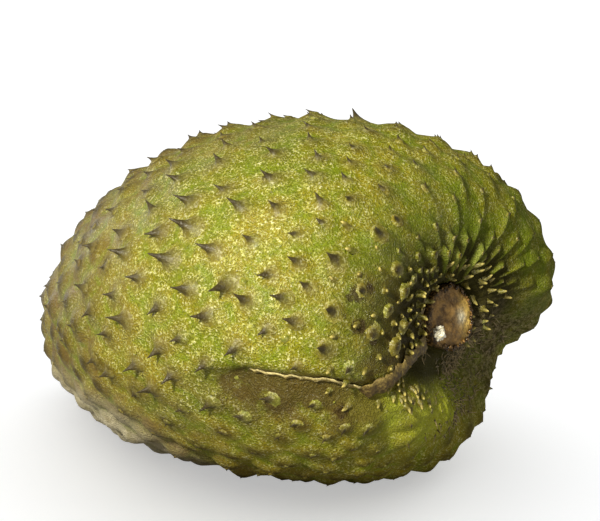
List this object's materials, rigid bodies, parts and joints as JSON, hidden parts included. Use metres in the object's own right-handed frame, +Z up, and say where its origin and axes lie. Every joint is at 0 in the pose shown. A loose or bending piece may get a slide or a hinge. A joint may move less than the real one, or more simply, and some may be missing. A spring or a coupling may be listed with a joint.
{
  "type": "soursop fruit",
  "caption": "Whole picked soursop lying on its side: green spiny skin, a sunken stem end with a woody stub, a brown crease and a dent above its lower lobe.",
  "frame": {"origin": "centre of the bounding box's underside, on the surface that the fruit rests on", "axes": "+X along the fruit towards its stem end, +Y across it to the grooved flank, +Z up"},
  "size_m": [0.1944, 0.1566, 0.1206],
  "materials": {
    "skin": "satin",
    "stem_wood": "matte"
  },
  "bodies": {
    "root": {"fruit": "skin", "stem_stub": "stem_wood"}
  },
  "joints": []
}
